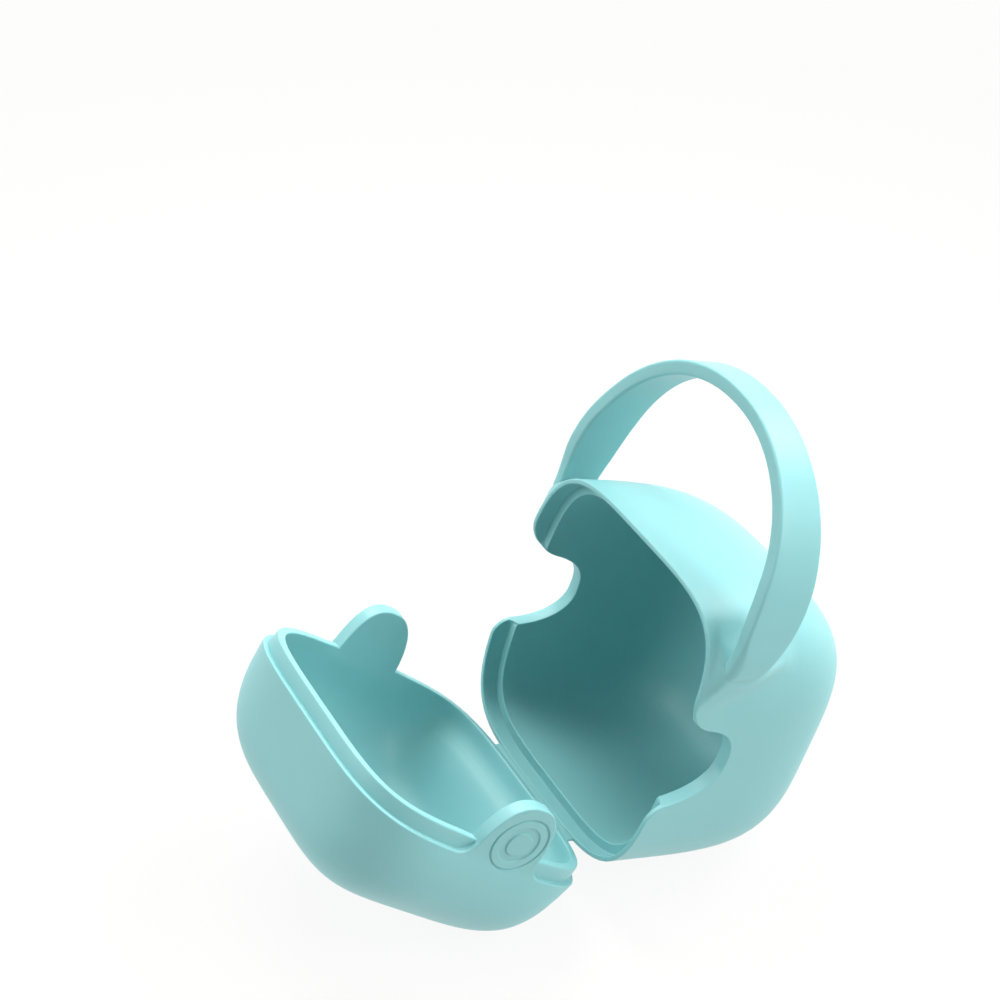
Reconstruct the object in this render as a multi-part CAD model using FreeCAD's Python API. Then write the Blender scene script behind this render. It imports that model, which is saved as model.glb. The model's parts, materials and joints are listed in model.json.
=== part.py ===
import FreeCAD, Part
import math
import os

# Soft silicone pacifier case, standing open on the backs of its two shells.
# Lengths are in millimetres. The shells are drawn shut, about the hinge axis: X runs along the hinge,
# Y runs into the back shell and Z runs up the mouth. At the end they are opened and stood on the ground.

# Mouth, the outline where both shells meet
mouth_half_width = 37.0
mouth_half_height = 36.4
hinge_drop = 2.6             # the hinge axis below the mouth's lower edge
mouth_squareness = 4.2       # 2 is an ellipse, more is squarer
mouth_gap = 0.3              # between the two rims when shut
wall = 3.5

# Back shell, the deep half
back_depth = 53.9
back_fullness = 3.8          # how late its sides turn in towards its closed end
back_end_squareness = 3.6
back_side_swell = -1.4
back_top_swell = 1.8
back_bottom_swell = 0.25
back_drift = -2.5            # how far its closed end lies above the mouth's centre

# Lid, the shallow half
lid_depth = 27.8
lid_fullness = 2.7
lid_end_squareness = 4.5
lid_side_swell = 1.2
lid_top_swell = -2.7
lid_bottom_swell = -3.1
lid_drift = 1.3

# Rim and lip: the lid's lip slides into a rebate inside the back shell's rim
rim_thickness = 1.15
lip_clearance = 0.25
lip_height = 3.6
rebate_end_clearance = 0.4

# Ears: the tabs at the lid's sides, pressed in to let the lid go, and the notches they lie in
ear_reach = 16.3
ear_half_width = 9.75
ear_drop = 1.1               # its middle below the mouth's centre
ear_top_squareness = 2.9
ear_bottom_squareness = 2.1
ear_flare = 4.0              # radius at the root, where the tab spreads into the rim
ear_gap = 0.3                # between the ear and the lip's ends
ear_root_gap = 0.15          # more room under the root than the rims have, so that the ear can bend in
ear_splay = 9.0              # lean outwards when free; pressed in by as much, it lies flush in its notch
notch_clearance = 0.7
notch_top_flare = 8.0
notch_bottom_flare = 4.5

# Rings moulded on each ear as a thumb mark
ring_reach = 6.4             # their centre, from the mouth
ring_drop = 0.4              # their centre below the ear's middle
ring_groove_radius = 7.15
ring_groove_width = 0.5
ring_recess_outer_radius = 4.85
ring_recess_inner_radius = 3.1
ring_depth = 0.4

# Living hinge: a thin web between the two rims, curved about the hinge axis
hinge_length = 36.0
web_offset = 0.35            # from the outside of the rims
web_thickness = 0.75

# Carrying strap, an arch moulded on the back shell's sides
strap_half_width = 39.7
strap_thickness = 3.5
strap_spring_lift = 33.0     # where the arch is widest, above the mouth's centre
strap_rise = 42.1            # from there to its top
strap_root_drop = 38.0       # from there, how slowly its legs turn into the shell
strap_squareness = 2.1
strap_band = 17.5            # its greatest width
strap_setback = 0.3          # the foremost point of its edge, behind the mouth
strap_foot = 18.0            # how far its side outline reaches below its widest place
strap_fillet = 7.0           # hollow corner between the legs and the shell
strap_fillet_rise = 7.0      # where that corner starts, above the arch's widest place

# The side edges of the strap: height as a share of the whole outline, depth as a share of the band
strap_front_shares = ((1.0, 0.46), (0.65, 0.30), (0.5, 0.21), (0.37, 0.17), (0.27, 0.18), (0.2, 0.165),
                      (0.13, 0.11), (0.07, 0.04), (0.0, 0.0))
strap_back_shares = ((1.0, 0.99), (0.65, 1.0), (0.5, 0.98), (0.38, 0.92), (0.28, 0.84), (0.22, 0.77),
                     (0.15, 0.65), (0.075, 0.44), (0.0, 0.21))

# Foot: a small flat under the back shell, for standing the shut case on its hinge side
foot_drop = 0.55             # below the mouth's lower edge

open_angle = 67.9            # degrees between the two rims as the case stands

overrun = 5.0                # how far cutting shapes pass the faces they cut
swell_end_share = 0.85       # the part of a shell's depth over which it swells
station_shares = (0, 0.12, 0.25, 0.4, 0.54, 0.66, 0.77, 0.86, 0.93, 0.97, 0.99, 0.999)
section_points = 32
edge_points = 12
profile_points = 200

Vector = FreeCAD.Vector
hinge_line = Vector(1, 0, 0)
half_gap = mouth_gap / 2
mouth_height = hinge_drop + mouth_half_height
ear_height = mouth_height - ear_drop
ring_height = ear_height - ring_drop
strap_spring_height = mouth_height + strap_spring_lift
foot_height = hinge_drop - foot_drop


# Outlines

def squarish_curve(half_width, top, bottom, height, squareness, y):
    """A closed, rounded-square curve across Y, with its own reach above and below its centre."""
    points = []
    for i in range(section_points):
        turn = 2 * math.pi * i / section_points
        across = math.cos(turn)
        up = math.sin(turn)
        reach = top if up >= 0 else bottom
        power = abs(across / half_width) ** squareness + abs(up / reach) ** squareness
        radius = power ** (-1 / squareness)
        points.append(Vector(radius * across, y, height + radius * up))
    curve = Part.BSplineCurve()
    curve.interpolate(Points=points, PeriodicFlag=True)
    return Part.Wire([curve.toShape()])


def mouth_prism(inset, y_from, y_to):
    """The mouth's outline, drawn in by an inset, as a straight block between two depths."""
    half_height = mouth_half_height - inset
    outline = squarish_curve(mouth_half_width - inset, half_height, half_height,
                             mouth_height, mouth_squareness, y_from)
    return Part.Face(outline).extrude(Vector(0, y_to - y_from, 0))


def tab_edge(grow, squareness, flare):
    """One side of an ear or notch: pairs of reach and offset from its middle, from the mouth to its tip."""
    reach = ear_reach + grow
    half_width = ear_half_width + grow
    edge = []
    for i in range(edge_points):
        turn = math.pi / 2 * i / edge_points
        y = flare * (1 - math.cos(turn))
        straight = half_width * (1 - (y / reach) ** squareness) ** (1 / squareness)
        edge.append((y, straight + flare * (1 - math.sin(turn))))
    first = math.asin((flare / reach) ** (squareness / 2))
    for i in range(edge_points + 1):
        turn = first + (math.pi / 2 - first) * i / edge_points
        y = reach * math.sin(turn) ** (2 / squareness)
        edge.append((y, half_width * max(math.cos(turn), 0) ** (2 / squareness)))
    return edge


def open_curve(points):
    curve = Part.BSplineCurve()
    curve.interpolate(points)
    return curve.toShape()


def tab_prism(side, grow, top_flare, bottom_flare):
    """The outline of an ear, grown all round, as a block that passes through one side wall along X."""
    x = side * mouth_half_width / 2
    top = [Vector(x, y, ear_height + off) for y, off in tab_edge(grow, ear_top_squareness, top_flare)]
    bottom = [Vector(x, y, ear_height - off)
              for y, off in tab_edge(grow, ear_bottom_squareness, bottom_flare)]
    corners = [bottom[0], bottom[0] - Vector(0, overrun, 0), top[0] - Vector(0, overrun, 0), top[0]]
    edges = [open_curve(top), open_curve(bottom[::-1])]
    for start, end in zip(corners, corners[1:]):
        edges.append(Part.makeLine(start, end))
    outline = Part.Wire(Part.__sortEdges__(edges))
    return Part.Face(outline).extrude(Vector(x + side * overrun, 0, 0))


# Shells

class Shell:
    """The outer shape of one half, from the mouth to its closed end."""

    def __init__(self, direction, depth, fullness, end_squareness, side, top, bottom, drift):
        self.direction = direction
        self.depth = depth
        self.fullness = fullness
        self.end_squareness = end_squareness
        self.swell = (side, top, bottom)
        self.drift = drift

    def station(self, share, inset):
        """Sizes of the cross-section at a share of the depth: half width, top, bottom, height, squareness."""
        closing = (1 - share ** self.fullness) ** (1 / self.fullness)
        bulge = math.sin(math.pi * min(share / swell_end_share, 1))
        side, top, bottom = [swell * bulge for swell in self.swell]
        squareness = mouth_squareness + (self.end_squareness - mouth_squareness) * share
        half_width = (mouth_half_width - inset + side) * closing
        above = (mouth_half_height - inset + top) * closing
        below = (mouth_half_height - inset + bottom) * closing
        return half_width, above, below, mouth_height + self.drift * share, squareness

    def depth_at(self, share, inset):
        return self.direction * (half_gap + share * (self.depth - inset))

    def solid(self, inset):
        """The outer shape drawn in by an inset on every side, as one block."""
        sections = [squarish_curve(*self.station(share, inset), self.depth_at(share, inset))
                    for share in station_shares]
        return Part.makeLoft(sections, True, False)

    def underside(self):
        """Points along the lowest line of the shape, from the mouth to the closed end."""
        line = []
        for i in range(profile_points + 1):
            share = i / profile_points
            half_width, above, below, height, squareness = self.station(share, 0)
            line.append((self.depth_at(share, 0), height - below))
        return line


back = Shell(1, back_depth, back_fullness, back_end_squareness,
             back_side_swell, back_top_swell, back_bottom_swell, back_drift)
lid = Shell(-1, lid_depth, lid_fullness, lid_end_squareness,
            lid_side_swell, lid_top_swell, lid_bottom_swell, lid_drift)

back_block = back.solid(0)
back_wall = back_block.cut(back.solid(wall))
lid_wall = lid.solid(0).cut(lid.solid(wall))
sides = {"left": -1, "right": 1}


def thumb_rings(shell, side):
    """The ring groove and the ring-shaped recess inside it, as cuts of even depth in a shell's surface."""
    start = Vector(side * mouth_half_width / 2, ring_reach, ring_height)
    along = Vector(side, 0, 0)

    def disc(radius):
        return Part.makeCylinder(radius, mouth_half_width, start, along)

    groove = disc(ring_groove_radius).cut(disc(ring_groove_radius - ring_groove_width))
    recess = disc(ring_recess_outer_radius).cut(disc(ring_recess_inner_radius))
    return Part.makeCompound([groove, recess]).cut(shell.solid(ring_depth))


def make_back_shell():
    """Deep shell with a rebate inside its rim, a notch in each side and a small flat to stand on."""
    shape = back_wall
    rebate_depth = lip_height + rebate_end_clearance
    shape = shape.cut(mouth_prism(rim_thickness, half_gap - overrun, half_gap + rebate_depth))
    for side in sides.values():
        shape = shape.cut(tab_prism(side, notch_clearance, notch_top_flare, notch_bottom_flare))
    under = Part.makeBox(2 * mouth_half_width, back_depth, overrun,
                         Vector(-mouth_half_width, half_gap, foot_height - overrun))
    return shape.cut(under)


def make_lid_shell():
    """Shallow shell with a thin lip round its mouth, which stops short of the ears."""
    lip = mouth_prism(rim_thickness + lip_clearance, -half_gap, lip_height - half_gap)
    lip = lip.cut(mouth_prism(wall, -half_gap - overrun, lip_height + overrun))
    lip_flare = ear_flare + 3 * ear_gap
    for side in sides.values():
        lip = lip.cut(tab_prism(side, ear_gap, lip_flare, lip_flare))
    shape = lid_wall.fuse(lip).removeSplitter()
    for side in sides.values():
        shape = shape.cut(thumb_rings(lid, side))
    return shape


def make_ear(side):
    """Tab of the wall's own thickness, with the back shell's curve, that leans outwards from its root."""
    root = half_gap + ear_root_gap
    shape = back_wall.common(tab_prism(side, 0, ear_flare, ear_flare))
    shape = shape.cut(mouth_prism(0, half_gap - overrun, root))
    shape = shape.cut(thumb_rings(back, side))
    shape.rotate(Vector(side * mouth_half_width, root, ear_height), Vector(0, 0, 1), -side * ear_splay)
    return shape


def opened(point, degrees):
    """A point of the lid after the lid has turned about the hinge axis."""
    return FreeCAD.Rotation(hinge_line, degrees).multVec(point)


def make_hinge_web():
    """Thin strip from rim to rim, part of a ring about the hinge axis."""
    def end_points(radius):
        height = math.sqrt(radius ** 2 - half_gap ** 2)
        near_lid = Vector(0, -half_gap, height)
        return Vector(0, half_gap, height), opened(near_lid, open_angle)

    def arc(radius):
        start, end = end_points(radius)
        middle = opened(Vector(0, 0, radius), open_angle / 2)
        return Part.Arc(start, middle, end).toShape()

    inside = hinge_drop + web_offset
    outside = inside + web_thickness
    ends = [Part.makeLine(a, b) for a, b in zip(end_points(inside), end_points(outside))]
    outline = Part.Wire(Part.__sortEdges__([arc(inside), arc(outside)] + ends))
    outline.translate(hinge_line * (-hinge_length / 2))
    return Part.Face(outline).extrude(hinge_line * hinge_length)


def make_carry_strap():
    """Flat band bent into an arch. Its legs narrow and run into the shell's sides."""
    def arch(inset):
        outline = squarish_curve(strap_half_width - inset, strap_rise - inset, strap_root_drop - inset,
                                 strap_spring_height, strap_squareness, 0)
        return Part.Face(outline).extrude(Vector(0, back_depth, 0))

    def root_fill(side):
        """The corner between a leg and the shell, hollowed to a round."""
        inner_face = strap_half_width - strap_thickness
        top = strap_spring_height + strap_fillet_rise
        corner = Vector(inner_face - strap_fillet, 0, top - strap_root_drop)
        block = Part.makeBox(strap_fillet + strap_thickness / 2, back_depth, strap_root_drop, corner)
        round_bar = Part.makeCylinder(strap_fillet, back_depth, Vector(corner.x, 0, top), Vector(0, 1, 0))
        fill = block.cut(round_bar)
        return fill if side > 0 else fill.mirror(Vector(), hinge_line)

    def side_edge(shares):
        lowest = strap_spring_height - strap_foot
        tall = strap_rise + strap_foot
        return [Vector(-strap_half_width - overrun, strap_setback + depth * strap_band, lowest + up * tall)
                for up, depth in shares]

    front = side_edge(strap_front_shares)
    rear = side_edge(strap_back_shares)
    edges = [open_curve(front), open_curve(rear)]
    for start, end in ((front[0], rear[0]), (front[-1], rear[-1])):
        edges.append(Part.makeLine(start, end))
    outline = Part.Wire(Part.__sortEdges__(edges))
    band = Part.Face(outline).extrude(hinge_line * (2 * (strap_half_width + overrun)))
    ring = arch(0).cut(arch(strap_thickness))
    for side in sides.values():
        ring = ring.fuse(root_fill(side).common(arch(0)))
    return ring.common(band).cut(back_block)


# Standing the open case on the ground

def lowest_point(line, degrees):
    turn = math.radians(degrees)
    return min(y * math.sin(turn) + z * math.cos(turn) for y, z in line)


def lean_angle():
    """How far the open case leans back, in degrees, so that both shells touch the ground."""
    least = 0
    most = open_angle
    for step in range(profile_points):
        middle = (least + most) / 2
        back_low = lowest_point(back.underside(), -middle)
        lid_low = lowest_point(lid.underside(), open_angle - middle)
        if back_low > lid_low:
            least = middle
        else:
            most = middle
    return middle


lean = lean_angle()
fixed_pieces = {
    "back_shell": make_back_shell(),
    "hinge_web": make_hinge_web(),
    "carry_strap": make_carry_strap(),
}
turning_pieces = {"lid_shell": make_lid_shell()}
for name, side in sides.items():
    turning_pieces[name + "_ear"] = make_ear(side)

pieces = {}
for name, shape in fixed_pieces.items():
    pieces[name] = shape.rotate(Vector(), hinge_line, -lean)
for name, shape in turning_pieces.items():
    pieces[name] = shape.rotate(Vector(), hinge_line, open_angle - lean)

box = Part.makeCompound(list(pieces.values())).optimalBoundingBox(False, False)
ground_shift = Vector(0, -(box.YMin + box.YMax) / 2, -box.ZMin)

os.makedirs("parts", exist_ok=True)
for name, shape in pieces.items():
    shape.translate(ground_shift)
    shape.exportStep("parts/" + name + ".step")
    print(name, "solids", len(shape.Solids), "volume", round(shape.Volume, 1), "valid", shape.isValid())
print("lean", round(lean, 4), "hinge axis at", tuple(round(v, 4) for v in ground_shift))
print("size", round(box.XLength, 3), round(box.YLength, 3), round(box.ZLength, 3))
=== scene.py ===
import json
import math

import bmesh
import bpy
import numpy as np
from mathutils import Matrix, Vector


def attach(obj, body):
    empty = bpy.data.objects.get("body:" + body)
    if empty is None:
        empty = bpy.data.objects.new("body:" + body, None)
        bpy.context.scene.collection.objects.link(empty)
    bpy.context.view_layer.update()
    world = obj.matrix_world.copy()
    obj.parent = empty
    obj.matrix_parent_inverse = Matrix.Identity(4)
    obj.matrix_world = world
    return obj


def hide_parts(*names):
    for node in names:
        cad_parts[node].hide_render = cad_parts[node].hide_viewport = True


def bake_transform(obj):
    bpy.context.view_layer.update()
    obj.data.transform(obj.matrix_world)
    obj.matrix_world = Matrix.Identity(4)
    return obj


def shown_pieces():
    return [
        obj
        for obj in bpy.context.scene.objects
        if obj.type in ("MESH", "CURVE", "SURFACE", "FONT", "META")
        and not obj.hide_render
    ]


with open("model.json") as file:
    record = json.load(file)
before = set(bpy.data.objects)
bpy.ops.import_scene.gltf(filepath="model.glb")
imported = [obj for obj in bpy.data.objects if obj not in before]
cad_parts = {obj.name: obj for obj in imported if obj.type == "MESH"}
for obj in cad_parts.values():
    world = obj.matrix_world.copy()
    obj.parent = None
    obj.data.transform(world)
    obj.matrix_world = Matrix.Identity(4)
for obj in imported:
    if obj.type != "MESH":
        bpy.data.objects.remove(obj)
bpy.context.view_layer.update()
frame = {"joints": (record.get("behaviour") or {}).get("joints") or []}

# Back shell: the deep half of the case, moulded in soft silicone with a wall of even thickness.
# A rebate inside its rim takes the lid's lip, and a notch in each side takes an ear of the lid.
# Both shells are drawn shut, in millimetres from the hinge axis, and then turned to where they stand.

mm = 0.001
joints = {joint["name"]: joint for joint in frame["joints"]}
hinge_spot = np.array(joints["lid_hinge"]["pos_m"])
open_angle = -joints["lid_hinge"]["range_deg"][0]
ear_axis = joints["right_ear_press"]["axis"]
lid_tilt = math.degrees(math.atan2(-ear_axis[1], ear_axis[2]))
case_tilt = lid_tilt - open_angle

mouth_half_width = 37.0
mouth_half_height = 36.4
mouth_height = 39.0
mouth_squareness = 4.2
half_gap = 0.15
wall = 3.5
swell_end_share = 0.85
rim_thickness = 1.15
rebate_depth = 4.15
rim_round = 0.35
step_round = 0.25
step_fade = 4 * step_round
foot_height = 2.05
back = {"way": 1, "depth": 53.9, "fullness": 3.8, "end": 3.6, "side": -1.4, "top": 1.8, "bottom": 0.25,
        "drift": -2.5}

ear_reach = 16.3
ear_half_width = 9.75
ear_height = 37.9
ear_squareness = {"top": 2.9, "bottom": 2.1}
notch_clearance = 0.7
notch_flares = {"top": 8.0, "bottom": 4.5}
tab_steps = 60


def placed(points, tilt):
    """Points of the shut case, in millimetres, turned about the hinge and set in the frame, in metres."""
    turn = math.radians(tilt)
    x, y, z = np.moveaxis(np.asarray(points, float), -1, 0)
    turned_y = y * math.cos(turn) - z * math.sin(turn)
    turned_z = y * math.sin(turn) + z * math.cos(turn)
    return np.stack([x, turned_y, turned_z], -1) * mm + hinge_spot


def rounded_square(turn, half_width, top, bottom, squareness):
    """Distance from the middle to a rounded-square outline, at an angle."""
    reach = np.where(np.sin(turn) >= 0, top, bottom)
    power = np.abs(np.cos(turn) / half_width) ** squareness + np.abs(np.sin(turn) / reach) ** squareness
    return power ** (-1 / squareness)


def swing_at(shell, depth):
    """The angle along a shell's closing curve, 0 at the mouth and a right angle at its end, for a depth."""
    share = np.clip((depth - half_gap) / shell["depth"], 0, 1)
    return np.arctan2(share, (1 - share ** shell["fullness"]) ** (1 / shell["fullness"]))


def section(shell, turn, share, closing):
    """Points of a shell's outside at a share of its depth: rounded squares that swell and then close."""
    bulge = np.sin(math.pi * np.minimum(share / swell_end_share, 1))
    squareness = mouth_squareness + (shell["end"] - mouth_squareness) * share
    radius = rounded_square(turn, (mouth_half_width + shell["side"] * bulge) * closing,
                            (mouth_half_height + shell["top"] * bulge) * closing,
                            (mouth_half_height + shell["bottom"] * bulge) * closing, squareness)
    y = shell["way"] * (half_gap + share * shell["depth"])
    z = mouth_height + shell["drift"] * share + radius * np.sin(turn)
    return np.stack([radius * np.cos(turn), y + 0 * turn, z], -1)


def shell_skin(shell, turn, swing):
    """A shell's outside by the angle along its closing curve, which stays even right to its end."""
    full = shell["fullness"]
    reach = (np.abs(np.sin(swing)) ** full + np.abs(np.cos(swing)) ** full) ** (-1 / full)
    return section(shell, turn, reach * np.sin(swing), np.maximum(reach * np.cos(swing), 1e-4))


def drawn_in(skin, turn, along, inset, level):
    """Points under a skin by an inset. Where level is 1 the inset keeps to planes along the mouth."""
    step = 1e-3
    across = skin(turn + step, along) - skin(turn - step, along)
    down = skin(turn, along + step) - skin(turn, along - step)
    normal = np.cross(across, down)
    outward = skin(turn, along) - np.array([0, 0, mouth_height])
    normal *= np.sign(np.sum(normal * outward, -1, keepdims=True))
    normal[..., 1] *= 1 - level
    normal /= np.maximum(np.linalg.norm(normal, axis=-1, keepdims=True), 1e-12)
    return skin(turn, along) - normal * np.asarray(inset)[..., None]


def smooth_step(value, start, end):
    """Rises smoothly from 0 to 1 as a value goes from a start to an end."""
    share = np.clip((value - start) / (end - start), 0, 1)
    return share * share * (3 - 2 * share)


def tab_side(grow, squareness, flare):
    """One side of an ear or notch: reach from the mouth and offset from its middle, from root to tip."""
    reach = ear_reach + grow
    half_width = ear_half_width + grow
    turn = np.linspace(0, math.pi / 2, tab_steps)
    root = flare * (1 - np.cos(turn))
    straight = half_width * (1 - (root / reach) ** squareness) ** (1 / squareness)
    first = math.asin((flare / reach) ** (squareness / 2))
    rest = np.linspace(first, math.pi / 2, 2 * tab_steps)[1:]
    tip = reach * np.sin(rest) ** (2 / squareness)
    width = half_width * np.maximum(np.cos(rest), 0) ** (2 / squareness)
    return np.concatenate([root, tip]), np.concatenate([straight + flare * (1 - np.sin(turn)), width])


# Girth is the distance along the mouth's outline from the middle of the right side, upwards
girth_steps = 4001
table_turn = np.linspace(-math.pi / 2, math.pi / 2, girth_steps)
table_radius = rounded_square(table_turn, mouth_half_width, mouth_half_height, mouth_half_height,
                              mouth_squareness)
table_x = table_radius * np.cos(table_turn)
table_z = mouth_height + table_radius * np.sin(table_turn)
table_girth = np.concatenate([[0], np.cumsum(np.hypot(np.diff(table_x), np.diff(table_z)))])
half_girth = table_girth[-1] / 2
table_girth -= half_girth


def turn_of(girth):
    """The angle about the mouth's middle at a girth."""
    return np.interp(girth, table_girth, table_turn)


def half_rim(plain_y, grow, flares, plain_step, tab_step):
    """Points along the right half of a rim, from hinge to top, with the ear or notch at its side.
    Gives girth, y, and the same girth evened out along the ear or notch."""
    sides = {}
    for name, sign in (("bottom", -1), ("top", 1)):
        y, offset = tab_side(grow, ear_squareness[name], flares[name])
        height = ear_height + sign * offset - back["drift"] * y / back["depth"]
        side_girth = np.interp(height, table_z, table_girth)
        sides[name] = (side_girth, y + plain_y * np.maximum(1 - y / flares[name], 0))
    girth = np.concatenate([sides["bottom"][0], sides["top"][0][-2::-1]])
    y = np.concatenate([sides["bottom"][1], sides["top"][1][-2::-1]])
    length = np.concatenate([[0], np.cumsum(np.hypot(np.diff(girth), np.diff(y)))])
    stations = np.linspace(0, length[-1], int(length[-1] / tab_step) + 1)
    tab_girth = np.interp(stations, length, girth)
    tab_y = np.interp(stations, length, y)
    below = np.linspace(-half_girth, tab_girth[0], int((tab_girth[0] + half_girth) / plain_step) + 1)[:-1]
    above = np.linspace(tab_girth[-1], half_girth, int((half_girth - tab_girth[-1]) / plain_step) + 1)[1:]
    even = np.linspace(tab_girth[0], tab_girth[-1], len(tab_girth))
    all_girth = np.concatenate([below, tab_girth, above])
    all_y = np.concatenate([0 * below + plain_y, tab_y, 0 * above + plain_y])
    return all_girth, all_y, np.concatenate([below, even, above])


line_reach_share = 0.75
line_steps = 400


class Columns:
    """Lines over a shell from each point of its rim, square to the rim, to an even spread at one depth."""

    def __init__(self, girth, y, even, depth_y):
        tangent = np.stack([np.gradient(girth), np.gradient(y)], -1)
        tangent /= np.linalg.norm(tangent, axis=-1, keepdims=True)
        way = 1 if depth_y > 0 else -1
        self.rim = np.stack([girth, y], -1)
        self.inward = way * np.stack([-tangent[:, 1], tangent[:, 0]], -1)
        self.end = np.stack([even, 0 * even + depth_y], -1)
        length = np.linalg.norm(self.end - self.rim, axis=-1)
        self.pace = line_reach_share * length + (1 - line_reach_share) * abs(depth_y)
        self.finish = np.array([0, way])

    def at(self, share):
        """Girth and y at a share of every line, 0 at the rim."""
        s = np.broadcast_to(share, self.pace.shape)[:, None]
        pace = self.pace[:, None]
        return ((1 + 2 * s) * (1 - s) ** 2 * self.rim + s * (1 - s) ** 2 * pace * self.inward
                + s * s * (3 - 2 * s) * self.end - s * s * (1 - s) * pace * self.finish)

    def share_at_y(self, y):
        """The share of each line at which it crosses a depth, or 0 where the rim is already past it."""
        steps = np.linspace(0, 1, line_steps)
        lines = np.stack([self.at(step)[:, 1] for step in steps])
        way = self.finish[1]
        return np.array([np.interp(way * y, np.maximum.accumulate(way * line), steps) for line in lines.T])


def mirrored_loop(half):
    """A whole loop of columns from its right half, rows by columns by three."""
    other = half[:, -2:0:-1] * np.array([-1, 1, 1])
    return np.concatenate([half, other], 1)


def loop_mesh(name, grid, first_pole, last_pole):
    """A closed mesh from rows of points that go round, with a point at each end."""
    rows, columns = grid.shape[:2]
    points = np.concatenate([grid.reshape(-1, 3), [first_pole, last_pole]])
    ids = np.arange(rows * columns).reshape(rows, columns)
    beside = np.roll(ids, -1, 1)
    faces = np.stack([ids[:-1], beside[:-1], beside[1:], ids[1:]], -1).reshape(-1, 4).tolist()
    first, last = rows * columns, rows * columns + 1
    faces += [(first, b, a) for a, b in zip(ids[0], beside[0])]
    faces += [(last, a, b) for a, b in zip(ids[-1], beside[-1])]
    mesh = bpy.data.meshes.new(name)
    mesh.from_pydata(points.tolist(), [], faces)
    return mesh


merge_distance = 0.0005
sliver_length = 0.001


def tidied(mesh):
    """Merges the points that fall together, turns the faces outwards and shades them smooth."""
    work = bmesh.new()
    work.from_mesh(mesh)
    bmesh.ops.remove_doubles(work, verts=work.verts, dist=merge_distance)
    bmesh.ops.dissolve_degenerate(work, edges=work.edges, dist=sliver_length)
    bmesh.ops.recalc_face_normals(work, faces=work.faces)
    for face in work.faces:
        face.smooth = True
    work.to_mesh(mesh)
    work.free()
    return mesh


def settled(mesh, tilt):
    """Sets a mesh that was drawn shut, in millimetres, where it stands in the frame."""
    points = np.empty(3 * len(mesh.vertices))
    mesh.vertices.foreach_get("co", points)
    mesh.vertices.foreach_set("co", placed(points.reshape(-1, 3), tilt).ravel())
    mesh.update()
    return mesh


def as_object(name, data):
    """A new object in the scene from its data, at the origin."""
    piece = bpy.data.objects.new(name, data)
    bpy.context.scene.collection.objects.link(piece)
    return piece


# The strap's outside line and edges, which the shell's shoulder and the strap itself both follow
strap_half_width = 39.7
strap_spring_height = 72.0
strap_rise = 42.1
strap_root_drop = 38.0
strap_squareness = 2.1
strap_edges = {
    "heights": (54, 58.2, 61.8, 66, 70.2, 76.2, 84, 93, 114.1),
    "front": (0.3, 1.0, 2.2, 3.2, 3.45, 3.3, 3.9, 5.5, 8.4),
    "back": (4.0, 7.9, 11.2, 13.6, 14.9, 16.3, 17.4, 17.8, 17.6),
}


def through(x, places, values):
    """A smooth line through given values."""
    places = np.asarray(places, float)
    values = np.asarray(values, float)
    slopes = np.gradient(values, places)
    k = np.clip(np.searchsorted(places, x) - 1, 0, len(places) - 2)
    gap = places[k + 1] - places[k]
    t = np.clip((x - places[k]) / gap, 0, 1)
    return ((1 + 2 * t) * (1 - t) ** 2 * values[k] + t * (1 - t) ** 2 * gap * slopes[k]
            + t * t * (3 - 2 * t) * values[k + 1] - t * t * (1 - t) * gap * slopes[k + 1])


def strap_outside(z):
    """Half width of the strap's outer face at a height below its widest place."""
    drop = np.clip((strap_spring_height - z) / strap_root_drop, 0, 1)
    return strap_half_width * (1 - drop ** strap_squareness) ** (1 / strap_squareness)


def ramp(distance, roundness):
    """A slope of one in one past an edge, which starts with a rounding."""
    past = np.maximum(distance, 0)
    return np.where(past < roundness, past ** 2 / (2 * roundness), past - roundness / 2)


shoulder_low = 52.0
shoulder_high = 76.0
shoulder_top = 63.2
shoulder_crown = 0.22
shoulder_blend = 2.0
shoulder_cover = 0.2
shoulder_thinning = 0.3
shoulder_thin_heights = (60.0, 66.0)
shoulder_front_inset = 0.9
shoulder_front_slope = 2.5
shoulder_front_round = 1.6
shoulder_rear_inset = 1.5
shoulder_rear_slope = 0.5
shoulder_rear_round = 5.0


def with_shoulders(points, weight):
    """Swells the shell's sides out to the strap's legs, so that the legs' ends fade into the wall."""
    x, y, z = np.moveaxis(points, -1, 0)
    front = through(z, strap_edges["heights"], strap_edges["front"]) + shoulder_front_inset
    rear = through(z, strap_edges["heights"], strap_edges["back"]) - shoulder_rear_inset
    target = strap_outside(z) + shoulder_cover - shoulder_thinning * smooth_step(z, *shoulder_thin_heights)
    target -= shoulder_front_slope * ramp(front - y, shoulder_front_round)
    target -= shoulder_rear_slope * ramp(y - rear, shoulder_rear_round)
    target -= shoulder_crown * np.maximum(z - shoulder_top, 0) ** 2
    reach = np.abs(x)
    near = np.clip(0.5 + 0.5 * (target - reach) / shoulder_blend, 0, 1)
    swollen = reach * (1 - near) + target * near + shoulder_blend * near * (1 - near)
    usable = (z > shoulder_low) & (z < shoulder_high) & (reach > mouth_half_width / 2)
    out = np.where(usable, reach + (swollen - reach) * weight, reach)
    return np.stack([np.sign(x) * out, y, z], -1)


back_even_depth = 24.0
back_level_start = 16.0
back_level_end = 26.0
back_level_fall = 8.0


def back_row(girth_y, inset):
    """One row of the back shell near its rim, from pairs of girth and y."""
    turn = turn_of(girth_y[:, 0])
    swing = swing_at(back, np.maximum(girth_y[:, 1], half_gap))
    level = 1 - smooth_step(girth_y[:, 1], back_level_start, back_level_end)
    inset = np.broadcast_to(inset, turn.shape)
    points = drawn_in(lambda t, s: shell_skin(back, t, s), turn, swing, inset, level)
    return with_shoulders(points, np.clip((rim_thickness - inset) / (rim_thickness - rim_round), 0, 1))


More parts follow.
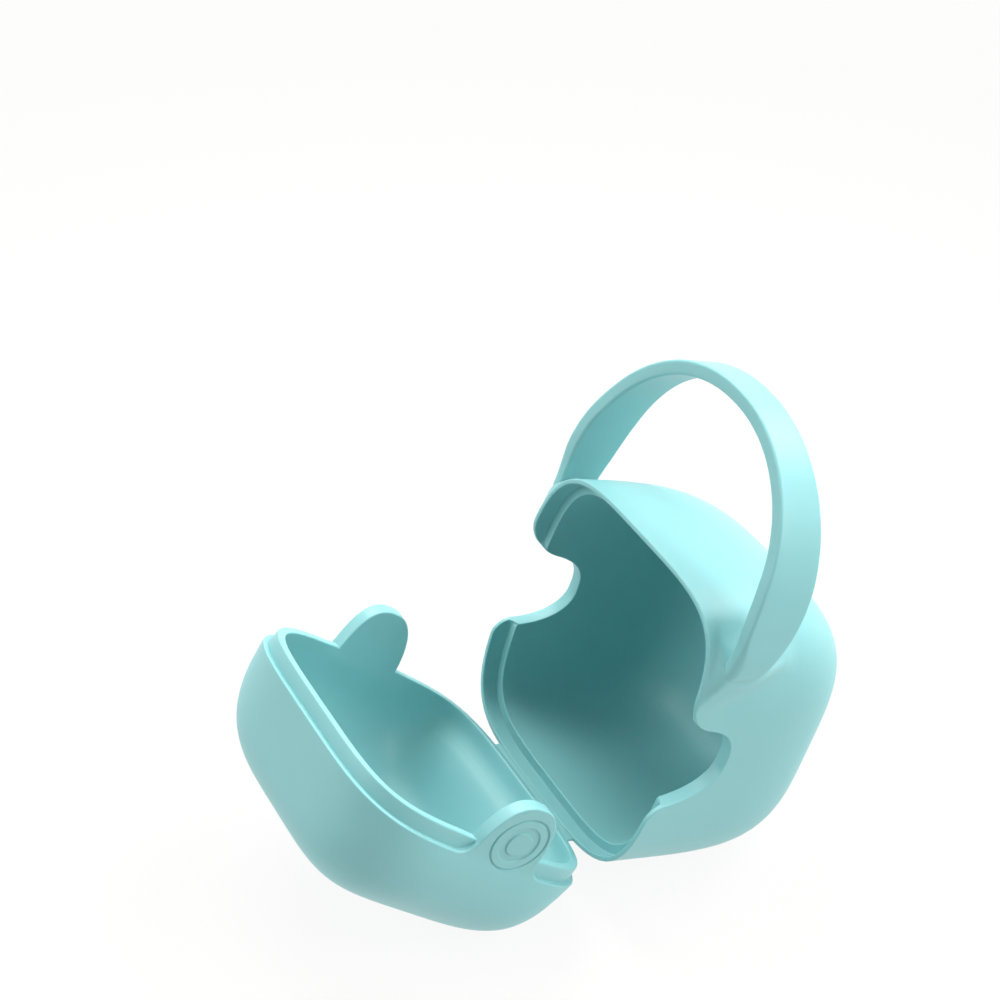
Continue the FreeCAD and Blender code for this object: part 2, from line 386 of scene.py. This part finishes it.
def end_rows(shell, turn, swing_from, inset, count, level_at):
    """Rows from where the columns are even to the closed end of a shell."""
    rows = []
    for swing in np.linspace(swing_from, math.pi / 2, count + 1)[1:-1]:
        rows.append(drawn_in(lambda t, s: shell_skin(shell, t, s), turn, 0 * turn + swing, 0 * turn + inset,
                             level_at(swing)))
    return rows


def on_foot(points):
    """Flattens the underside where the shut case stands."""
    points[..., 2] = np.maximum(points[..., 2], foot_height)
    return points


rim_spacing = 2.2
notch_spacing = 0.6
end_row_count = 30
back_wall_row_count = 34
back_inner_row_count = 28
back_wall_crowding = 1.5
back_inner_crowding = 1.3
rebate_shares = (0.3, 0.6, 0.9, 0.97)
ledge_shares = (0.0, 0.1, 0.5, 0.9, 1.0)
round_turns = np.linspace(0, math.pi / 2, 6)

back_columns = Columns(*half_rim(half_gap, notch_clearance, notch_flares, rim_spacing, notch_spacing),
                       back_even_depth)
back_turns = turn_of(back_columns.end[:, 0])
back_swing = float(swing_at(back, back_even_depth))
step_share = back_columns.share_at_y(rebate_depth)
stepped = np.clip(step_share * back_columns.pace / step_fade, 0, 1)
inner_edge = rim_thickness + (wall - rim_thickness) * (1 - stepped)
edge_round = np.minimum(step_round, 0.5 * step_share * back_columns.pace + step_round * (1 - stepped))

rim_share = rim_round / back_columns.pace
outside = end_rows(back, back_turns, back_swing, 0, end_row_count, lambda swing: 0)[::-1]
for share in np.linspace(1, 0, back_wall_row_count)[:-1] ** back_wall_crowding:
    outside.append(back_row(back_columns.at(rim_share + (1 - rim_share) * share), 0))
back_rows = [on_foot(row) for row in outside]
for turn in round_turns:
    girth_y = back_columns.at(rim_share * (1 - math.sin(turn)))
    back_rows.append(back_row(girth_y, rim_round * (1 - math.cos(turn))))
edge_share = edge_round / back_columns.pace
for turn in round_turns:
    girth_y = back_columns.at(edge_share * (1 - math.cos(turn)))
    back_rows.append(back_row(girth_y, inner_edge - edge_round * (1 - math.sin(turn))))
rebate_share = np.maximum(step_share, edge_share)
for share in rebate_shares:
    girth_y = back_columns.at(edge_share + (rebate_share - edge_share) * share)
    back_rows.append(back_row(girth_y, inner_edge))
for share in ledge_shares:
    back_rows.append(back_row(back_columns.at(rebate_share), inner_edge + (wall - inner_edge) * share))
for share in np.linspace(0, 1, back_inner_row_count)[1:] ** back_inner_crowding:
    back_rows.append(back_row(back_columns.at(rebate_share + (1 - rebate_share) * share), wall))
inner_level = 1 - float(smooth_step(back_even_depth, back_level_start, back_level_end))
back_rows += end_rows(back, back_turns, back_swing, wall, end_row_count,
                      lambda swing: inner_level * max(0, 1 - back_level_fall * (swing - back_swing)))

back_end = half_gap + back["depth"]
back_poles = [[0, y, mouth_height + back["drift"]] for y in (back_end, back_end - wall)]
back_mesh = tidied(loop_mesh("back_shell_moulding", mirrored_loop(np.stack(back_rows)), *back_poles))
back_shell = as_object("back_shell_moulding", settled(back_mesh, case_tilt))
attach(back_shell, "case")
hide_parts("back_shell")

# Carrying strap: a flat band of the same silicone, bent into an arch and moulded in one with the back shell.
# Its edges are rounded, its legs narrow downwards, and their ends are buried in the shell's shoulders.

strap_thickness = 3.5
strap_edge_round = 0.7
strap_end_height = 60.0
strap_end_depth = 1.6
strap_end_top = 65.0
strap_end_thinning = 1.3
strap_thin_top = 66.0
strap_fade_heights = (66.0, 75.0)
strap_fade_rise = 0.5
strap_fade_outer_round = 1.3
strap_fade_inner_round = 0.3
strap_leg_steps = 60
strap_arch_steps = 400
strap_row_count = 64
strap_across = 8
corner_steps = 8


def rounded_section(thickness, front, rear, inner_round, outer_round, across):
    """A closed outline of a flat band: depth under its outer face, and place along its width."""
    quarter = np.linspace(0, math.pi / 2, corner_steps)
    flat = np.linspace(0, 1, across + 1)[1:-1]
    middle = np.array([0.5])
    low, high = front + outer_round, rear - outer_round
    inner_low, inner_high = front + inner_round, rear - inner_round
    inner = thickness - inner_round
    depth = [outer_round * (1 - np.sin(quarter)), 0 * flat, outer_round * (1 - np.cos(quarter)),
             outer_round + (inner - outer_round) * middle, inner + inner_round * np.sin(quarter),
             0 * flat + thickness, inner + inner_round * np.cos(quarter),
             inner + (outer_round - inner) * middle]
    place = [low - outer_round * np.cos(quarter), low + (high - low) * flat,
             high + outer_round * np.sin(quarter), 0 * middle + rear,
             inner_high + inner_round * np.cos(quarter), inner_high + (inner_low - inner_high) * flat,
             inner_low - inner_round * np.sin(quarter), 0 * middle + front]
    return np.concatenate(depth), np.concatenate(place)


def band_mesh(name, rows):
    """A closed mesh from sections along a band, with a flat face at each end."""
    rows = np.stack(rows)
    count, points = rows.shape[:2]
    ids = np.arange(count * points).reshape(count, points)
    beside = np.roll(ids, -1, 1)
    faces = np.stack([ids[:-1], beside[:-1], beside[1:], ids[1:]], -1).reshape(-1, 4).tolist()
    mesh = bpy.data.meshes.new(name)
    mesh.from_pydata(rows.reshape(-1, 3).tolist(), [], faces + [ids[0].tolist(), ids[-1].tolist()])
    return tidied(mesh)


leg = np.linspace(strap_end_height, strap_spring_height, strap_leg_steps)[:-1]
arch = np.linspace(0, math.pi / 2, strap_arch_steps)
line_x = np.concatenate([strap_outside(leg), strap_half_width * np.cos(arch) ** (2 / strap_squareness)])
line_z = np.concatenate([leg, strap_spring_height + strap_rise * np.sin(arch) ** (2 / strap_squareness)])
line_length = np.concatenate([[0], np.cumsum(np.hypot(np.diff(line_x), np.diff(line_z)))])
stations = np.linspace(0, line_length[-1], strap_row_count)
line_x = np.interp(stations, line_length, line_x)
line_z = np.interp(stations, line_length, line_z)
line_x = np.concatenate([line_x, -line_x[-2::-1]])
line_z = np.concatenate([line_z, line_z[-2::-1]])
out_x, out_z = np.gradient(line_z), -np.gradient(line_x)
out_length = np.hypot(out_x, out_z)
strap_rows = []
for x, z, nx, nz in zip(line_x, line_z, out_x / out_length, out_z / out_length):
    front = float(through(z, strap_edges["heights"], strap_edges["front"]))
    rear = float(through(z, strap_edges["heights"], strap_edges["back"]))
    thinned = float(1 - smooth_step(z, strap_end_height, strap_thin_top))
    buried = float(1 - smooth_step(z, strap_end_height, strap_end_top))
    fade = float(1 - smooth_step(z, *strap_fade_heights))
    depth, place = rounded_section(strap_thickness - strap_end_thinning * thinned, front, rear,
                                   strap_edge_round - strap_fade_inner_round * fade,
                                   strap_edge_round + strap_fade_outer_round * fade, strap_across)
    depth += strap_end_depth * buried - strap_fade_rise * fade
    strap_rows.append(np.stack([x - depth * nx, place, z - depth * nz], -1))
strap = as_object("carry_strap_band", settled(band_mesh("carry_strap_band", strap_rows), case_tilt))
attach(strap, "case")
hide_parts("carry_strap")

# Lid: the shallow half, of the same silicone, with a thin lip round its mouth that plugs into the rebate.
# It is drawn in one with its ears, as it is moulded, and is then cut from them along a plane.
# The ears' thumb rings are pressed into the outer faces by Geometry Nodes before the cut.

lid = {"way": -1, "depth": 27.8, "fullness": 2.7, "end": 4.5, "side": 1.2, "top": -2.7, "bottom": -3.1,
       "drift": 1.3}
lip_clearance = 0.25
lip_inset = rim_thickness + lip_clearance
lip_corner = 0.06
lip_top = 3.45
lip_round = 0.35
lip_fade = 0.8
lip_outer_shares = (0.03, 0.4, 0.7)
lip_inner_shares = (0.3, 0.6, 0.9)
ear_flares = {"top": 4.0, "bottom": 4.0}
ear_spacing = 0.3
ear_cut = 3.6
ear_merge = 3.0
ear_lean = math.tan(math.radians(9))
ear_lean_round = 2.0
ear_lean_fade = 5.0
lid_even_depth = -8.0
lid_level_depth = -2.0
lid_wall_row_count = 76
lid_wall_crowding = 1.1
lid_inner_row_count = 30
lid_inner_end_row_count = 24


def mouth_skin(shell, turn, y):
    """A shell's outside by depth near its mouth, carried on a little past the mouth."""
    share = (shell["way"] * y - half_gap) / shell["depth"]
    return section(shell, turn, share, (1 - np.abs(share) ** shell["fullness"]) ** (1 / shell["fullness"]))


def lid_skin(turn, y):
    """The lid's outside, which runs on in its ears to the curve of the back shell."""
    share = smooth_step(y, -ear_merge, ear_merge)[..., None]
    points = mouth_skin(lid, turn, y) * (1 - share) + mouth_skin(back, turn, y) * share
    from_middle = np.abs(points[..., 2] - ear_height)
    on_ear = 1 - smooth_step(from_middle, ear_half_width, ear_half_width + ear_lean_fade)
    points[..., 0] += ear_lean * ramp(y, ear_lean_round) * on_ear
    return points


def lid_row(girth_y, inset):
    """One row of the lid near its rim, from pairs of girth and y."""
    turn = turn_of(girth_y[:, 0])
    y = girth_y[:, 1]
    level = smooth_step(y, lid_even_depth, lid_level_depth)
    return drawn_in(lid_skin, turn, y, np.broadcast_to(inset, turn.shape), level)


lid_columns = Columns(*half_rim(-half_gap, 0, ear_flares, rim_spacing, ear_spacing), lid_even_depth)
lid_turns = turn_of(lid_columns.end[:, 0])
lid_swing = float(swing_at(lid, -lid_even_depth))
lid_rim = lid_columns.rim
lip_height = np.maximum(lip_top - lid_rim[:, 1], 0)
raised = np.clip(lip_height / lip_fade, 0, 1)


def over_rim(rise, share):
    """Points above the rim where it carries the lip, and down the columns where it is an ear's edge."""
    lifted = lid_rim + np.stack([0 * raised, np.broadcast_to(rise, raised.shape)], -1)
    return lifted * raised[:, None] + lid_columns.at(share) * (1 - raised)[:, None]


lid_rows = end_rows(lid, lid_turns, lid_swing, 0, end_row_count, lambda swing: 0)[::-1]
rim_share = rim_round / lid_columns.pace
for share in np.linspace(1, 0, lid_wall_row_count)[:-1] ** lid_wall_crowding:
    lid_rows.append(lid_row(lid_columns.at(rim_share + (1 - rim_share) * share), 0))
for turn in round_turns:
    girth_y = lid_columns.at(rim_share * (1 - math.sin(turn)))
    lid_rows.append(lid_row(girth_y, rim_round * (1 - math.cos(turn))))
for inset in (lip_inset - lip_corner, lip_inset):
    lid_rows.append(lid_row(lid_rim, inset))
for share in lip_outer_shares:
    lid_rows.append(lid_row(over_rim((lip_height - lip_round) * share, 0 * raised), lip_inset))
for turn in round_turns:
    inset = lip_inset + lip_round * (1 - math.cos(turn)) * raised
    lid_rows.append(lid_row(over_rim(lip_height - lip_round * (1 - math.sin(turn)), 0 * raised), inset))
for turn in round_turns:
    drop = lip_round * (1 - math.cos(turn))
    inset = wall - lip_round * (1 - math.sin(turn))
    lid_rows.append(lid_row(over_rim(lip_height - drop, drop / lid_columns.pace), inset))
inner_share = lip_round / lid_columns.pace * (1 - raised)
for share in lip_inner_shares:
    lid_rows.append(lid_row(over_rim((lip_height - lip_round) * (1 - share), inner_share), wall))
for share in np.linspace(0, 1, lid_inner_row_count):
    lid_rows.append(lid_row(lid_columns.at(inner_share + (1 - inner_share) * share), wall))
lid_rows += end_rows(lid, lid_turns, lid_swing, wall, lid_inner_end_row_count, lambda swing: 0)
lid_end = lid["way"] * (half_gap + lid["depth"])
lid_poles = [[0, y, mouth_height + lid["drift"]] for y in (lid_end, lid_end + wall)]
whole_mesh = tidied(loop_mesh("lid_with_ears", mirrored_loop(np.stack(lid_rows)), *lid_poles))

ring_values = {"Reach": 6.4, "Height": 37.5, "Groove radius": 6.9, "Groove width": 0.5,
               "Recess outer radius": 4.85, "Recess inner radius": 3.1, "Depth": 0.4}
ring_spot = Vector((0, ring_values["Reach"], ring_values["Height"]))
ring_margin = 0.75
ring_cuts = 3
groove_edge = 0.25
recess_edge = 0.35
outer_face_least = 5.0

# The faces along the rings' edges are made finer, so that the rings come out crisp
work = bmesh.new()
work.from_mesh(whole_mesh)
fine = set()
for face in work.faces:
    middle = face.calc_center_median()
    if abs(middle.x) > mouth_half_width / 2 and middle.x * face.normal.x > 0:
        far = Vector((0, middle.y, middle.z)) - ring_spot
        edges = [abs(far.length - ring_values[key]) for key in ring_values if "radius" in key]
        if min(edges) < ring_margin:
            fine.update(face.edges)
bmesh.ops.subdivide_edges(work, edges=list(fine), cuts=ring_cuts, use_grid_fill=True)
work.to_mesh(whole_mesh)
work.free()
whole = as_object("lid_with_ears", whole_mesh)


def add_node(tree, kind, values=None, **settings):
    """A new node with its settings and its inputs: values, sockets, or nodes linked by their first output."""
    node = tree.nodes.new(kind)
    for name, value in settings.items():
        setattr(node, name, value)
    for name, value in (values or {}).items():
        if isinstance(value, bpy.types.Node):
            value = value.outputs[0]
        if isinstance(value, bpy.types.NodeSocket):
            tree.links.new(value, node.inputs[name])
        else:
            node.inputs[name].default_value = value
    return node


silicone = bpy.data.materials.new("satin_silicone")
rings = bpy.data.node_groups.new("thumb_rings", "GeometryNodeTree")
rings.is_modifier = True
rings.interface.new_socket("Geometry", in_out="INPUT", socket_type="NodeSocketGeometry")
rings.interface.new_socket("Geometry", in_out="OUTPUT", socket_type="NodeSocketGeometry")
ring_sockets = {name: rings.interface.new_socket(name, in_out="INPUT", socket_type="NodeSocketFloat")
                for name in ring_values}
given = add_node(rings, "NodeGroupInput").outputs
position = add_node(rings, "GeometryNodeInputPosition")
normal = add_node(rings, "GeometryNodeInputNormal")

# Distance from the rings' middle, seen from the side
centre = add_node(rings, "ShaderNodeCombineXYZ", {"Y": given["Reach"], "Z": given["Height"]})
side_on = add_node(rings, "ShaderNodeVectorMath", {0: position, 1: (0, 1, 1)}, operation="MULTIPLY")
spread = add_node(rings, "ShaderNodeVectorMath", {0: side_on, 1: centre}, operation="DISTANCE")
radius = spread.outputs["Value"]

# How far a point lies inside the groove, inside the recess, and outside the disc within it
from_line = add_node(rings, "ShaderNodeMath", {0: radius, 1: given["Groove radius"]}, operation="SUBTRACT")
off_line = add_node(rings, "ShaderNodeMath", {0: from_line}, operation="ABSOLUTE")
half_groove = add_node(rings, "ShaderNodeMath", {0: given["Groove width"], 1: 0.5}, operation="MULTIPLY")
in_groove = add_node(rings, "ShaderNodeMath", {0: half_groove, 1: off_line}, operation="SUBTRACT")
in_recess = add_node(rings, "ShaderNodeMath", {0: given["Recess outer radius"], 1: radius},
                     operation="SUBTRACT")
off_disc = add_node(rings, "ShaderNodeMath", {0: radius, 1: given["Recess inner radius"]},
                    operation="SUBTRACT")
steps = []
for distance, width in ((in_groove, groove_edge), (in_recess, recess_edge), (off_disc, recess_edge)):
    bounds = {"Value": distance, "From Min": -width / 2, "From Max": width / 2}
    steps.append(add_node(rings, "ShaderNodeMapRange", bounds, interpolation_type="SMOOTHSTEP"))
recess = add_node(rings, "ShaderNodeMath", {0: steps[1], 1: steps[2]}, operation="MULTIPLY")
pressed = add_node(rings, "ShaderNodeMath", {0: steps[0], 1: recess}, operation="ADD")

# Only the faces that look outwards are pressed
sideways = add_node(rings, "ShaderNodeVectorMath", {0: position, 1: (1, 0, 0)}, operation="MULTIPLY")
outward = add_node(rings, "ShaderNodeVectorMath", {0: sideways, 1: normal}, operation="DOT_PRODUCT")
outer_face = add_node(rings, "ShaderNodeMath", {0: outward.outputs["Value"], 1: outer_face_least},
                      operation="GREATER_THAN")
shown = add_node(rings, "ShaderNodeMath", {0: pressed, 1: outer_face}, operation="MULTIPLY")
depth = add_node(rings, "ShaderNodeMath", {0: shown, 1: given["Depth"]}, operation="MULTIPLY")
inward = add_node(rings, "ShaderNodeMath", {0: depth, 1: -1.0}, operation="MULTIPLY")
shift = add_node(rings, "ShaderNodeVectorMath", {0: normal, "Scale": inward}, operation="SCALE")
moved = add_node(rings, "GeometryNodeSetPosition", {"Geometry": given["Geometry"], "Offset": shift})
real = add_node(rings, "GeometryNodeRealizeInstances", {"Geometry": moved})
dressed = add_node(rings, "GeometryNodeSetMaterial", {"Geometry": real, "Material": silicone})
add_node(rings, "NodeGroupOutput", {"Geometry": dressed})

modifier = whole.modifiers.new("thumb_rings", "NODES")
modifier.node_group = rings
for name, value in ring_values.items():
    modifier[ring_sockets[name].identifier] = value
evaluated = whole.evaluated_get(bpy.context.evaluated_depsgraph_get())
whole_mesh = bpy.data.meshes.new_from_object(evaluated)
bpy.data.objects.remove(whole)

work = bmesh.new()
work.from_mesh(whole_mesh)
plane = {"plane_co": (0, ear_cut, 0), "plane_no": (0, 1, 0)}
bmesh.ops.bisect_plane(work, geom=work.verts[:] + work.edges[:] + work.faces[:], dist=1e-5, **plane)
work.normal_update()
spot_digits = 4
normals = {tuple(round(c, spot_digits) for c in vert.co): vert.normal.copy() for vert in work.verts}


def cut_piece(name, keep):
    """The part of the lid and ears whose face middles pass a test, closed at its cut and shaded as before."""
    part = work.copy()
    bmesh.ops.delete(part, geom=[f for f in part.faces if not keep(f.calc_center_median())], context="FACES")
    for face in part.faces:
        face.smooth = True
    capped = bmesh.ops.triangle_fill(part, edges=[e for e in part.edges if e.is_boundary], use_beauty=True)
    for face in capped["geom"]:
        if isinstance(face, bmesh.types.BMFace):
            face.smooth = False
    bmesh.ops.recalc_face_normals(part, faces=part.faces)
    mesh = bpy.data.meshes.new(name)
    part.to_mesh(mesh)
    part.free()
    shading = []
    for polygon in mesh.polygons:
        for index in polygon.vertices:
            spot = tuple(round(c, spot_digits) for c in mesh.vertices[index].co)
            shading.append(normals[spot] if polygon.use_smooth else polygon.normal)
    turn = Matrix.Rotation(math.radians(lid_tilt), 3, "X")
    shading = [turn @ normal for normal in shading]
    settled(mesh, lid_tilt)
    mesh.normals_split_custom_set(shading)
    return as_object(name, mesh)


lid_shell = cut_piece("lid_shell_moulding", lambda spot: spot.y < ear_cut)
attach(lid_shell, "lid")
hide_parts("lid_shell")

# Ears: two tabs of the lid's silicone wall that fill the notches and are pressed to let the lid open.
# Each bends from its root when it is pressed, and here each is cut from the lid as a piece of its own.

for side, name in ((-1, "left_ear"), (1, "right_ear")):
    ear = cut_piece(name + "_tab", lambda spot: spot.y > ear_cut and spot.x * side > 0)
    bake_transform(ear)
    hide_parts(name)
work.free()

# Hinge web: a thin strip of silicone along the lower edges of both rims, moulded in one with them.
# It is part of a ring about the hinge axis, and its ends run a little into the rims.

web_seat = 0.35
web_radius = mouth_height - mouth_half_height + web_seat
web_thickness = 0.75
web_length = 36.0
web_edge_round = 0.3
web_overrun_angle = 6
web_row_count = 24
web_across = 12
web_rows = []
for angle in np.radians(np.linspace(-web_overrun_angle, open_angle + web_overrun_angle, web_row_count)):
    depth, place = rounded_section(web_thickness, -web_length / 2, web_length / 2, web_edge_round,
                                   web_edge_round, web_across)
    radius = web_radius + web_thickness - depth
    web_rows.append(np.stack([place, -radius * math.sin(angle), radius * math.cos(angle)], -1))
web = as_object("hinge_web_strip", settled(band_mesh("hinge_web_strip", web_rows), case_tilt))
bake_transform(web)
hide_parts("hinge_web")

# Silicone: pale aqua moulded rubber, satin from the mould and slightly cloudy below its surface.
# The colour drifts a little over the moulding and a fine grain breaks up the highlights.
# The mould's real grain is too fine to show, so it is drawn several times as coarse.

cloud_width = 22.2
grain_width = 0.385
grain_height = 0.05


def linear(code):
    """A colour written as sRGB hex, made linear."""
    parts = [int(code[i:i + 2], 16) / 255 for i in (1, 3, 5)]
    return [c / 12.92 if c <= 0.04045 else ((c + 0.055) / 1.055) ** 2.4 for c in parts] + [1.0]


silicone.use_nodes = True
tree = silicone.node_tree
tree.nodes.clear()
place = add_node(tree, "ShaderNodeTexCoord").outputs["Object"]
cloud = add_node(tree, "ShaderNodeTexNoise",
                 {"Vector": place, "Scale": 1 / (cloud_width * mm), "Detail": 2.0}).outputs["Fac"]
grain = add_node(tree, "ShaderNodeTexNoise",
                 {"Vector": place, "Scale": 1 / (grain_width * mm), "Detail": 1.0}).outputs["Fac"]
tint = add_node(tree, "ShaderNodeMix", {"Factor": cloud, "A": linear("#84BEC0"), "B": linear("#8CC6C8")},
                data_type="RGBA")
sheen = add_node(tree, "ShaderNodeMapRange", {"Value": cloud, "To Min": 0.36, "To Max": 0.46})
bump = add_node(tree, "ShaderNodeBump", {"Height": grain, "Strength": 0.12, "Distance": grain_height * mm})
skin = add_node(tree, "ShaderNodeBsdfPrincipled", {
    "Base Color": tint.outputs["Result"], "Roughness": sheen, "Normal": bump, "IOR": 1.41,
    "Subsurface Weight": 0.25, "Subsurface Radius": (0.6, 1.0, 1.0), "Subsurface Scale": 1.2 * mm})
add_node(tree, "ShaderNodeOutputMaterial", {"Surface": skin})
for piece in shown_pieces():
    piece.data.materials.clear()
    piece.data.materials.append(silicone)

# Studio: a white floor, four soft round lamps, and a world that is white to the camera and dim elsewhere.
# The camera sees through the floor, because the lid hangs below it when it is laid right back.
# A small matt share near the case keeps its shadow, and for other rays the floor shines as white does.

floor_half = 6.0
floor_corners = [(-floor_half, -floor_half, 0), (floor_half, -floor_half, 0), (floor_half, floor_half, 0),
                 (-floor_half, floor_half, 0)]
shadow_share = 0.08
shadow_near = 0.12
shadow_far = 0.45
floor_mesh = bpy.data.meshes.new("floor")
floor_mesh.from_pydata(floor_corners, [], [(0, 1, 2, 3)])
floor = as_object("floor", floor_mesh)
pale = bpy.data.materials.new("pale_floor")
pale.use_nodes = True
tree = pale.node_tree
tree.nodes.clear()
seen = add_node(tree, "ShaderNodeLightPath").outputs["Is Camera Ray"]
matt = add_node(tree, "ShaderNodeBsdfDiffuse", {"Color": linear("#F4F4F3")})
glow = add_node(tree, "ShaderNodeEmission", {"Color": linear("#FDFDFC"), "Strength": 1.0})
clear = add_node(tree, "ShaderNodeBsdfTransparent", {"Color": linear("#FFFFFF")})
table = add_node(tree, "ShaderNodeMixShader", {"Fac": seen, 1: glow, 2: clear})
place = add_node(tree, "ShaderNodeTexCoord").outputs["Object"]
away = add_node(tree, "ShaderNodeVectorMath", {0: place}, operation="LENGTH").outputs["Value"]
fading = {"Value": away, "From Min": shadow_near, "From Max": shadow_far, "To Min": 1 - shadow_share,
          "To Max": 1.0}
see_through = add_node(tree, "ShaderNodeMapRange", fading, interpolation_type="SMOOTHSTEP")
both = add_node(tree, "ShaderNodeMixShader", {"Fac": see_through, 1: matt, 2: table})
add_node(tree, "ShaderNodeOutputMaterial", {"Surface": both})
floor.data.materials.append(pale)

lamp_aim = Vector((0.0, 0.0, 0.05))
lamp_size = 0.7


def soft_light(name, spot, power):
    """A round area lamp at a spot, turned to the case."""
    light = bpy.data.lights.new(name, "AREA")
    light.shape = "DISK"
    light.size = lamp_size
    light.energy = power
    lamp = as_object(name, light)
    aim = (lamp_aim - Vector(spot)).to_track_quat("-Z", "Y")
    lamp.matrix_world = Matrix.Translation(spot) @ aim.to_matrix().to_4x4()


soft_light("key", (-0.6, 0.1, 0.95), 10.0)
soft_light("front_fill", (-0.4, -0.8, 0.65), 5.0)
soft_light("side_fill", (0.7, 0.55, 0.7), 7.5)
soft_light("rear_fill", (-0.1, 0.8, 0.85), 11.5)

dome_low = 0.12
dome_high = 0.25
world = bpy.data.worlds.new("studio_white")
bpy.context.scene.world = world
world.use_nodes = True
tree = world.node_tree
tree.nodes.clear()
path = add_node(tree, "ShaderNodeLightPath").outputs
white_rays = {0: path["Is Camera Ray"], 1: path["Is Glossy Ray"]}
seen = add_node(tree, "ShaderNodeMath", white_rays, operation="MAXIMUM")
way = add_node(tree, "ShaderNodeTexCoord").outputs["Generated"]
height = add_node(tree, "ShaderNodeSeparateXYZ", {0: way}).outputs["Z"]
rising = {"Value": height, "From Min": 0.0, "From Max": 1.0, "To Min": dome_low, "To Max": dome_high}
sky = add_node(tree, "ShaderNodeMapRange", rising, interpolation_type="SMOOTHSTEP")
dome = add_node(tree, "ShaderNodeBackground", {"Color": linear("#FFFFFF"), "Strength": sky})
white = add_node(tree, "ShaderNodeBackground", {"Color": linear("#FDFDFC"), "Strength": 1.0})
both = add_node(tree, "ShaderNodeMixShader", {"Fac": seen, 1: dome, 2: white})
add_node(tree, "ShaderNodeOutputWorld", {"Surface": both})

# Camera: it stands at the photograph's viewpoint, which was worked out from the case's edges.
# Its place and axes are in the frame, in metres, and its lens and sensor in millimetres.

camera_spot = (0.33828, -0.20703, 0.37980)
camera_right = Vector((0.46427, 0.88438, 0.04873))
camera_look = Vector((-0.70544, 0.40249, -0.58341))
camera_up = camera_right.cross(camera_look)
camera_turn = Matrix((camera_right, camera_up, -camera_look)).transposed()
camera_data = bpy.data.cameras.new("camera")
camera_data.lens = 82.35
camera_data.sensor_width = 36.0
camera = as_object("camera", camera_data)
camera.matrix_world = Matrix.Translation(camera_spot) @ camera_turn.to_4x4()
bpy.context.scene.camera = camera
bpy.context.scene.view_settings.view_transform = "Standard"
